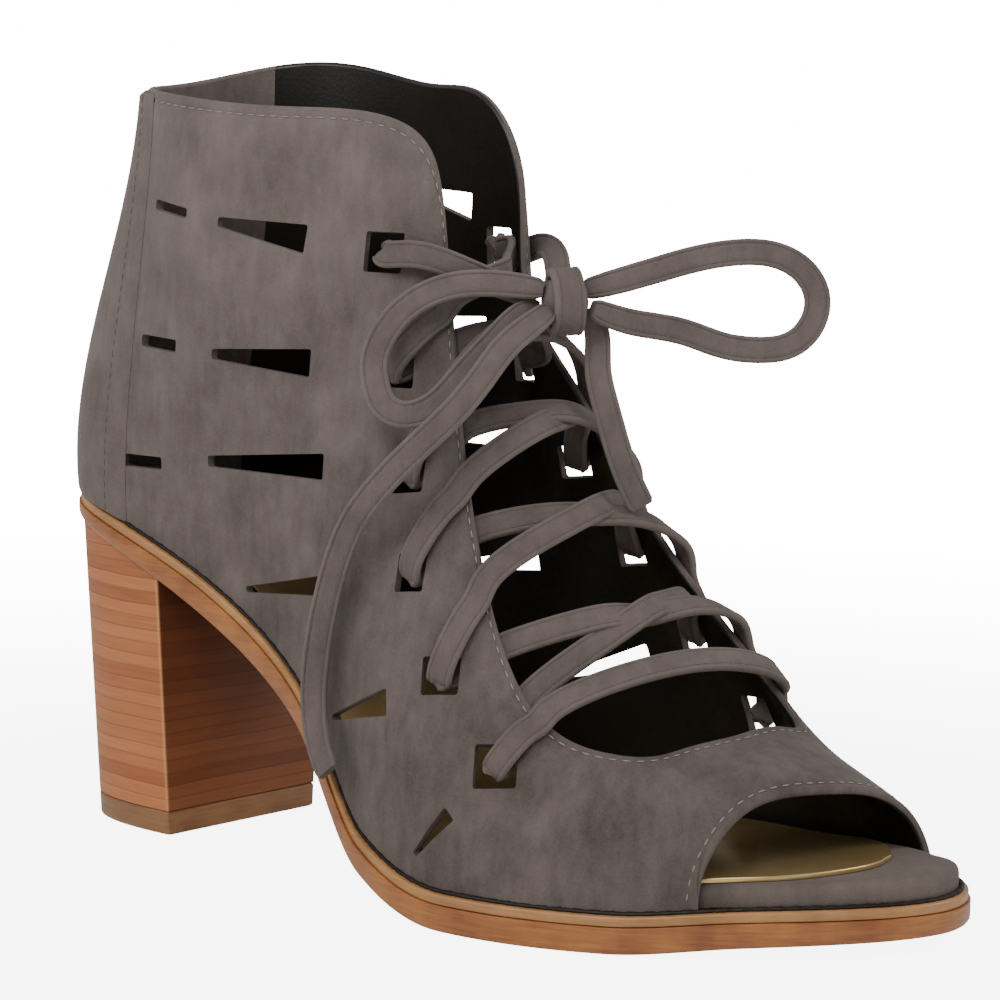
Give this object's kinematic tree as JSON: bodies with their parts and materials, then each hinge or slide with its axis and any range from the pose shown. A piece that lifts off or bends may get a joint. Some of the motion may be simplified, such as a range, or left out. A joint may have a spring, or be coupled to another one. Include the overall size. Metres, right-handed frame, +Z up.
{
  "type": "lace-up heel",
  "caption": "Peep-toe lace-up heel in taupe suede with cut-out rows, a high collar, a bow at the open throat and a stacked block heel.",
  "frame": {"origin": "on the floor, at the middle of the bounding box of the shoe without its loose lace", "axes": "+Z up, toe toward -Y, heel toward +Y, wearer's right toward -X"},
  "size_m": [0.0988, 0.2339, 0.1841],
  "materials": {
    "sole_edge": "smooth orange-brown sole edge",
    "rand": "light tan rand",
    "stacked_heel": "stacked layers, satin",
    "tip": "brown top piece",
    "suede": "taupe grey suede",
    "gold_sock": "metallic gold foil on leather",
    "lace": "folded flat suede strap"
  },
  "bodies": {
    "root": {"outsole": "sole_edge", "welt": "rand", "heel": "stacked_heel", "heel_tip": "tip", "footbed": "suede", "sock": "gold_sock", "upper": "suede", "back_panel": "suede", "lace_bar_front": "lace", "lace_cross_fifth": "lace", "lace_cross_fourth": "lace", "lace_cross_third": "lace", "lace_cross_second": "lace", "lace_knot": "lace", "lace_loop_outer": "lace", "lace_loop_inner": "lace", "lace_end_outer": "lace", "lace_end_inner": "lace", "lace_lead_outer": "lace", "lace_lead_inner": "lace"}
  },
  "joints": []
}
